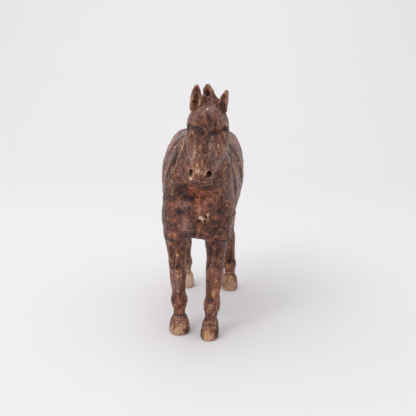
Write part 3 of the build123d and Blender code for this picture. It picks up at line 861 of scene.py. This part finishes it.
# ---------------------------------------------------------------- breast plug
# A short round plug let into the knot in the breast. Its stain has chipped away with splinters of its
# face, so pale wood shows, with three pits painted dark inside as shade.
bare_wood = stained_wood("bare_wood", (1, 0, 0.2), (9, -90, 160), level=0.6, red=0.0, dust=0.0)
PLUG_VOXEL = 0.35
PLUG_PROUD = 2.6  # mm that it stands forward of its seat, since the breast is full there
plug = Carving(even_mesh(closed_mesh("chest_plug"), PLUG_VOXEL))
plug.points += plug.normals * 0.15
plug.points[:, 1] -= PLUG_PROUD
plug.turn_over()
weathered(plug, 0.9, 2.2, 8)
plug.turn_over()
for centre, radii in PLUG_PITS:
    plug.drill(centre, radii, (0, 1, 0), PIT_DEPTH)
finish_surface(
    plug,
    stains_and_painted_light=[
        *PLUG_PALE,
        ("pale", (7, -94, 149), (2.2, 7, 2.0), 0.9),
        # Painted shade in the pits
        *(("dark", centre, radii, 2.4) for centre, radii in PLUG_PITS),
    ],
)
put_on_bench("chest_plug_carving", plug.mesh, bare_wood, "bare_wood", "chest_plug")

# ---------------------------------------------------------------- ears
# Each ear is a small carving glued into a seat on the poll. The front is hollowed with a narrow gouge;
# the right ear's tip is rounded over and the left ear's is sharp and worn pale.
EAR_VOXEL = 0.5
EAR_ROOT = 276  # mm up, above which an ear leans outwards
EAR_RISE = 18


def ear(name, hollow, grow, lean, hollows, marks):
    """Carve an ear: its hollow's path, how far it is grown and leans over, and more hollows or swellings."""
    carving = Carving(even_mesh(closed_mesh(name), EAR_VOXEL))
    carving.points += carving.normals * grow
    carving.sand(3)
    for centre, radii, depth in hollows:
        carving.press(centre, radii, depth)
    carving.points[:, 0] += lean * np.clip((carving.points[:, 2] - EAR_ROOT) / EAR_RISE, 0, 1) ** 2
    carving.groove(hollow, 4.4, 3.2, edge=0.8, towards=(0, 1, 0))
    carving.turn_over()
    carving.gouge_marks(40, (0, -0.1, 1), 6, 1.8, 0.25, 13)
    weathered(carving, 0.4, 5, 9)
    carving.sand(1)
    finish_surface(carving, stains_and_painted_light=marks)
    put_on_bench(name + "_carving", carving.mesh, head_wood, "head_wood", name)


ear(
    "ear_right",
    hollow=[(-0.6, -103, 272), (-0.2, -103, 280), (0.6, -103, 288), (1.0, -102, 292)],
    grow=0.8,
    lean=0.0,
    hollows=[((4.6, -97, 283), (4, 9, 9), -1.8)],
    marks=[
        ("dark", (-1.6, -103, 279), (3.4, 6, 4.5), 1.0),
        ("dark", (0.4, -103, 272.5), (3.2, 6, 3.5), 1.0),
        ("tan", (2.6, -103, 280.5), (3.0, 5, 4.4), 0.5),
        ("warm", (1, -99, 297), (5, 6, 4), 0.5),
        ("grey", (0.5, -103, 289), (3.5, 6, 5), 0.6),
    ],
)
ear(
    "ear_left",
    hollow=[(28.6, -103, 272), (29.4, -103, 279), (30.6, -103, 286)],
    grow=0.7,
    lean=1.8,
    hollows=[((29.5, -98, 288), (3.4, 8, 6), 0.9)],
    marks=[
        ("dark", (28.6, -103, 272), (3.2, 6, 4.5), 1.0),
        ("dark", (29.4, -103, 281), (1.8, 6, 7), 0.85),
        ("warm", (30.6, -103, 280), (2.4, 6, 7), 0.7),
        ("pale", (32.0, -99, 292.5), (2.4, 5, 4.5), 0.75),
    ],
)

# ---------------------------------------------------------------- mane
# A thin carved crest glued into the top of the neck, cut into locks that fall back on both sides. The
# foremost lock stands up between the ears, with a dark scoop out of its front.
MANE_VOXEL = 0.6
MANE_FRONT = np.array((12.5, -86.0))
MANE_BACK = np.array((6.6, -32.0))
LOCKS = 15
LOCK_SPACING = 3.7
LOCK_LENGTH = 26
CREST_TOP = 291
mane_wood = stained_wood("mane_wood", (0, 0.75, -0.65), (10, -60, 262), red=0.15, dust=0.45)
mane = Carving(even_mesh(closed_mesh("mane"), MANE_VOXEL))
mane.points += mane.normals * 0.25
mane.sand(3)
mane_run = (MANE_BACK - MANE_FRONT) / np.linalg.norm(MANE_BACK - MANE_FRONT)
chance = np.random.default_rng(21)
for lock in range(LOCKS):
    back = 4 + LOCK_SPACING * lock
    top = CREST_TOP - 0.012 * back**2
    for side in SIDES:
        path = []
        for step in range(6):
            fall = step / 5
            run = back + 7 * fall + 1.2 * math.sin(fall * 5 + lock)
            x, y = MANE_FRONT + mane_run * run
            path.append((x + side * 5, y, top - LOCK_LENGTH * fall))
        mane.groove(path, 2.0, chance.uniform(0.6, 1.3), edge=1.0)
mane.turn_over()
for place in ((7, -86, 277), (7, -86, 283)):
    mane.press(place, (7, 9, 7), -3.0)
    mane.turn_over()
mane.press((25, -86, 280), (7, 9, 8), -1.4)
mane.turn_over()
mane.press((12.3, -89.5, 290), (4.4, 7, 5.5), 2.4)
mane.press((12.6, -89.5, 289), (3.0, 6, 4.0), 1.4)
mane.press((7.5, -87, 298.5), (4.4, 8, 4), 1.9)
mane.press((17.2, -87, 298.5), (4.4, 8, 4.4), 2.2)
for path in [
    [(9, -92, 284), (10, -93, 276), (8, -95, 270)],
    [(14, -92, 283), (15, -94, 276), (16, -95, 270)],
    [(19, -90, 285), (21, -92, 277), (23, -93, 271)],
]:
    mane.groove(path, 2.2, 0.9)
weathered(mane, 0.4, 6, 10)
mane.sand(1)
finish_surface(
    mane,
    stains_and_painted_light=[
        # Painted shade in the scoop out of the foremost lock
        ("dark", (12.3, -89, 290), (4.4, 7, 5.0), 0.85),
        ("grey", (15, -92, 278), (12, 8, 8), 0.8),
        ("pale", (15.8, -88, 292), (2.2, 5, 4), 0.6),
        ("pale", (11, -88, 296.5), (2.4, 4, 2.6), 0.5),
    ],
)
put_on_bench("mane_carving", mane.mesh, mane_wood, "mane_wood", "mane")

# ---------------------------------------------------------------- legs
# Each leg is a block of its own, its grain running down it, with a round tenon up in the trunk. Knees,
# tendons and fetlocks are cut in, and the hoof is set off by a groove round its top.
leg_wood = stained_wood("leg_wood", (0.05, 0, 1), (4, 10, 0), level=0.49, red=0.28, dust=0.16, contrast=1.1)
HOOF_BANDS = [  # height, half width, depth
    (22.6, 1.8, 0.7),  # groove round the coronet
    (17.5, 5.5, -1.1),  # the hoof's full top
    (28, 4, 0.3),  # pastern
]
SOLE_PLANED = 0.45  # mm


def carve_hoof(leg, foot, width, depth):
    """Set off the hoof and split the heel."""
    x, y = foot
    for height, half_width, amount in HOOF_BANDS:
        share = np.clip(1 - np.abs(leg.points[:, 2] - height) / half_width, 0, 1)
        leg.points -= leg.normals * (share * amount)[:, None]
    leg.turn_over()
    leg.groove([(x, y + depth + 2, 19), (x, y + depth + 4, 8), (x, y + depth + 4, 0)], 3.4, 1.3)
    for side in SIDES:
        leg.press((x + side * width * 0.8, y + depth * 0.8, 9), (5, 6, 9), 0.8)
    leg.turn_over()


def finish_leg(name, leg, grain, marks, lines, seed):
    """Leave the tool's marks and some knocks on a leg, and plane its sole level on the ground."""
    leg.gouge_marks(170, grain, 9, 3.2, 0.4, seed)
    weathered(leg, 0.55, 9, seed)
    weathered(leg, 0.4, 3.2, seed + 1)
    dents(leg, 36, 2.2, 0.7, seed + 2)
    leg.points[:, 2] = np.where(leg.points[:, 2] < SOLE_PLANED, 0, leg.points[:, 2])
    finish_surface(leg, marks, lines)
    put_on_bench(name + "_carving", leg.mesh, leg_wood, "leg_wood", name)


def foreleg(name, foot, knee, swellings, marks, lines, seed):
    """Carve a foreleg. Places are x and y of the hoof's middle and of the middle of the knee."""
    bm, caps = sawn_block(name)
    refine(bm, caps)
    leg = Carving(mesh_of(bm, name))
    leg.hold(*FORE_JOINT, 3)
    x, y = knee
    leg.press((x, y - 10, 85), (8, 8, 9), -1.3)
    for side in SIDES:
        leg.press((x + side * 8, y + 7, 97), (6, 8, 9), 0.8)
        leg.groove([(x + side * 6, y + 9, 76), (x + side * 6, y + 9, 46)], 3.6, 1.1)
        leg.groove([(x + side * 6, y - 12, 112), (x + side * 5, y - 12, 95)], 5.0, 0.8)
        leg.press((x + side * 9, y - 1, 58), (7, 10, 13), -0.9)
    leg.press((x, y + 10, 37), (7, 7, 8), -1.3)
    for centre, radii, depth in swellings:
        leg.press(centre, radii, depth)
    leg.turn_over()
    carve_hoof(leg, foot, 12, 14)
    finish_leg(name, leg, (0.05, 0, 1), marks, lines, seed)


foreleg(
    "foreleg_right",
    foot=(-23.7, -64),
    knee=(-25.2, -61.5),
    swellings=[],
    marks=[
        ("dark", (-24, -74, 85), (3.8, 6, 3.7), 1.8),
        ("warm", (-23.7, -75, 84.4), (1.6, 3, 1.6), 3.0),
        ("tan", (-23.7, -75, 84.4), (1.8, 3, 1.8), 2.6),
        ("dark", (-22, -80, 118), (14, 10, 6), 0.8),
        ("dark", (-30, -72, 48), (4, 8, 16), 0.8),
        ("dark", (-32, -68, 104), (4, 9, 12), 0.5),
        ("grey", (-25.8, -70, 63), (9, 9, 10), 1.0),
        ("tan", (-26, -72, 77), (10, 8, 9), 0.7),
        ("tan", (-25, -76, 96), (6, 6, 8), 0.7),
        ("tan", (-24, -78, 6), (18, 18, 18), 1.3),
        ("warm", (-22, -68, 34), (9, 12, 16), 0.6),
        ("grey", (-24, -70, 24), (9, 10, 9), 0.5),
        ("dark", (-29, -77, 13), (2.6, 5, 2.6), 0.9),
        ("dark", (-14, -74, 6), (4, 9, 5), 1.0),
        ("dark", (-20, -80, 16), (3, 5, 3), 0.7),
    ],
    lines=[
        ("pale", [(-27.2, -69, 55.2), (-26, -69, 53), (-23.6, -69, 53), (-22.6, -69, 55)], 1.2, 0.8),
        ("dark", [(-33, -70, 85), (-28, -73, 84)], 1.6, 0.8),
    ],
    seed=31,
)
foreleg(
    "foreleg_left",
    foot=(13.6, -79),
    knee=(18.6, -69.5),
    swellings=[((28, -69, 74), (7, 14, 24), -1.3)],
    marks=[
        ("dark", (18, -76, 92), (16, 16, 44), 0.35),
        # Painted shade down the leg's inner side
        ("dark", (12, -76, 104), (6, 12, 20), 0.7),
        ("dark", (11, -78, 62), (5, 12, 24), 0.75),
        ("dark", (14.5, -80, 47), (5, 7, 6), 1.1),
        ("dark", (24, -80, 104), (6, 9, 10), 0.6),
        ("tan", (18, -80, 92), (8, 8, 9), 0.6),
        ("tan", (20, -79, 62), (6, 8, 14), 0.55),
        ("pale", (16.3, -79.6, 79.2), (1.3, 3, 1.3), 1.3),
        ("tan", (15.6, -80, 37.6), (5.5, 6, 5), 1.1),
        ("warm", (23, -76, 60), (6, 9, 34), 0.55),
        ("tan", (13.6, -94, 4), (9, 12, 13), 1.25),
        ("pale", (9, -94, 2), (5, 8, 4), 0.5),
        ("pale", (15.5, -94, 3), (4, 8, 5), 0.4),
        # Painted shade on both sides of the hoof
        ("dark", (3.0, -80, 12), (5, 13, 15), 1.0),
        ("dark", (24.5, -80, 12), (4, 13, 15), 0.8),
        ("dark", (14, -91, 19), (6, 7, 5), 0.9),
    ],
    lines=[("dark", [(12, -84, 114), (20, -86, 116), (27, -84, 113)], 2.4, 0.9)],
    seed=37,
)


def hindleg(name, foot, hock, swellings, marks, seed):
    """Carve a hind leg. Places are x and y of the hoof's middle and of the middle of the hock."""
    bm, caps = sawn_block(name)
    refine(bm, caps)
    leg = Carving(mesh_of(bm, name))
    leg.hold(*HIND_JOINT, 3)
    x, y = hock
    leg.press((x, y + 14, 84), (6, 8, 9), -1.6)  # point of the hock
    for side in SIDES:
        leg.press((x + side * 8, y + 6, 96), (6, 9, 12), 0.9)
        leg.press((x + side * 9, y - 2, 80), (5, 8, 8), -0.8)
        leg.groove([(x + side * 6, y + 12, 72), (x + side * 5, y + 14, 44)], 3.6, 1.1)
        leg.press((x + side * 8, y + 4, 54), (7, 10, 12), -0.7)
    for centre, radii, depth in swellings:
        leg.press(centre, radii, depth)
    leg.press((foot[0], foot[1] + 10, 36), (7, 7, 8), -1.2)
    leg.turn_over()
    carve_hoof(leg, foot, 11, 13)
    finish_leg(name, leg, (0.05, 0.1, 1), marks, [], seed)


hindleg(
    "hindleg_left",
    foot=(36, 103),
    hock=(34, 100),
    swellings=[
        ((25, 100, 60), (7, 14, 20), -2.4),
        ((25, 100, 88), (7, 14, 16), -1.8),
        ((26, 99, 20), (6, 16, 26), -2.2),
    ],
    marks=[
        ("dark", (34, 96, 44), (7, 9, 5), 1.3),
        ("dark", (35, 98, 55), (9, 12, 9), 0.6),
        ("tan", (36, 92, 8), (17, 18, 19), 1.3),
        ("grey", (36, 91, 10), (9, 9, 9), 0.5),
        ("dark", (44, 95, 20), (6, 10, 6), 0.7),
        ("tan", (36, 86, 110), (8, 14, 16), 0.6),
    ],
    seed=41,
)
hindleg(
    "hindleg_right",
    foot=(-30.4, 112),
    hock=(-31.5, 105),
    swellings=[((-22.5, 105, 60), (7, 14, 20), -2.1), ((-22.5, 105, 88), (7, 14, 16), -2.1)],
    marks=[
        ("pale", (-26, 100, 11), (18, 18, 18), 0.85),
        ("tan", (-26, 102, 14), (22, 24, 26), 1.9),
        ("tan", (-21, 98, 40), (8, 12, 24), 0.9),
        ("warm", (-22, 98, 60), (8, 12, 30), 0.5),
    ],
    seed=47,
)

# ---------------------------------------------------------------- tail
# The tail is a carving of its own, pegged into the rump and hanging clear of the legs, cut into long
# waving strands with a narrow gouge.
TAIL_VOXEL = 0.8
TAIL_MIDDLE = [(139.5, 218), (144, 212), (147, 200), (147.3, 178)]  # y, z from the dock down
TAIL_MIDDLE += [(147, 152), (146.5, 124), (146.5, 98), (147, 88)]
TAIL_STRANDS = 12
tail = Carving(even_mesh(closed_mesh("tail"), TAIL_VOXEL))
tail.points += tail.normals * 0.2
tail.sand(3)
for strand in range(TAIL_STRANDS):
    turn = 2 * math.pi * strand / TAIL_STRANDS
    path = []
    for step, (y, z) in enumerate(TAIL_MIDDLE):
        swing = turn + 0.35 * math.sin(step * 1.1 + strand)
        path.append((9 * math.sin(swing), y - 7 * math.cos(swing), z))
    tail.groove(path, 2.4, chance.uniform(1.0, 1.9), edge=1.0)
tail.turn_over()
tail.gouge_marks(120, (0, 0, 1), 12, 2.0, 0.35, 51)
weathered(tail, 0.4, 8, 12)
tail.sand(1)
finish_surface(tail)
put_on_bench("tail_carving", tail.mesh, mane_wood, "mane_wood", "tail")

# ---------------------------------------------------------------- floor, light and camera
# A roll of white paper, flat under the horse and curving up behind it, under a wide soft light from
# above. A smaller one stands at the front left, and a third falls on the paper behind.
PAPER_HALF_WIDTH = 4.0
PAPER_FRONT = -3.0
PAPER_BEND_AT = 1.2
PAPER_BEND_RADIUS = 1.0
PAPER_TOP = 3.0
PAPER_BEND_STEPS = 24


def drawn_out(bm, edge, by):
    """Draw a sheet's edge out by a vector, and give its new edge."""
    made = bmesh.ops.extrude_edge_only(bm, edges=[edge])["geom"]
    corners = [item for item in made if isinstance(item, bmesh.types.BMVert)]
    bmesh.ops.translate(bm, verts=corners, vec=by)
    return bm.edges.get(corners)


bm = bmesh.new()
front = [bm.verts.new((side * PAPER_HALF_WIDTH, PAPER_FRONT, 0)) for side in SIDES]
edge = drawn_out(bm, bm.edges.new(front), (0, PAPER_BEND_AT - PAPER_FRONT, 0))
bent = bmesh.ops.spin(
    bm,
    geom=[edge, *edge.verts],
    cent=(0, PAPER_BEND_AT, PAPER_BEND_RADIUS),
    axis=(1, 0, 0),
    angle=math.pi / 2,
    steps=PAPER_BEND_STEPS,
)["geom_last"]
edge = next(item for item in bent if isinstance(item, bmesh.types.BMEdge))
drawn_out(bm, edge, (0, 0, PAPER_TOP - PAPER_BEND_RADIUS))
bmesh.ops.recalc_face_normals(bm, faces=bm.faces)
if sum(face.normal.z for face in bm.faces) < 0:
    bmesh.ops.reverse_faces(bm, faces=bm.faces)
for face in bm.faces:
    face.smooth = True
paper_mesh = bpy.data.meshes.new("paper")
bm.to_mesh(paper_mesh)
bm.free()
paper = bpy.data.materials.new("paper")
paper.use_nodes = True
paper_shader = paper.node_tree.nodes["Principled BSDF"]
paper_shader.inputs["Base Color"].default_value = (0.87, 0.86, 0.87, 1)
paper_shader.inputs["Roughness"].default_value = 0.9
paper_mesh.materials.append(paper)
floor = bpy.data.objects.new("paper_floor", paper_mesh)
bpy.context.scene.collection.objects.link(floor)

world = bpy.data.worlds.new("world")
bpy.context.scene.world = world
world.use_nodes = True
background = world.node_tree.nodes["Background"]
background.inputs["Color"].default_value = (1.0, 0.99, 1.0, 1)
background.inputs["Strength"].default_value = 0.66


def soft_light(name, place, size, energy, aim=(0, 0, 0.15)):
    """A square soft box, aimed at the horse unless told otherwise."""
    light = bpy.data.lights.new(name, "AREA")
    light.size = size
    light.energy = energy
    lamp = bpy.data.objects.new(name, light)
    lamp.location = place
    lamp.rotation_euler = (Vector(aim) - Vector(place)).to_track_quat("-Z", "Y").to_euler()
    bpy.context.scene.collection.objects.link(lamp)


soft_light("overhead", (-0.5, -0.2, 2.2), 3.0, 17.5)
soft_light("front_left", (-1.1, -1.5, 1.7), 0.8, 10)
soft_light("on_the_paper", (0, 0.9, 2.4), 1.0, 5, aim=(0, 2.6, 0.7))

CAMERA_AWAY = 0.7607
CAMERA_HEIGHT = 0.2954
CAMERA_SIDE = 0.008
CAMERA_TURN = math.radians(3.0)
CAMERA_PITCH = math.radians(11.3)
camera_data = bpy.data.cameras.new("camera")
camera_data.lens = 51.92
camera_data.sensor_width = 36
camera_data.clip_start = 0.01
camera = bpy.data.objects.new("camera", camera_data)
bpy.context.scene.collection.objects.link(camera)
forward = Vector((-math.sin(CAMERA_TURN), math.cos(CAMERA_TURN), 0))
right = Vector((math.cos(CAMERA_TURN), math.sin(CAMERA_TURN), 0))
camera.location = -CAMERA_AWAY * forward + CAMERA_SIDE * right + Vector((0, 0, CAMERA_HEIGHT))
camera.rotation_euler = (math.pi / 2 - CAMERA_PITCH, 0, CAMERA_TURN)
bpy.context.scene.camera = camera

# Plain display of the light as it falls, so that the paper stays white and the stain keeps its colour
bpy.context.scene.view_settings.view_transform = "Standard"
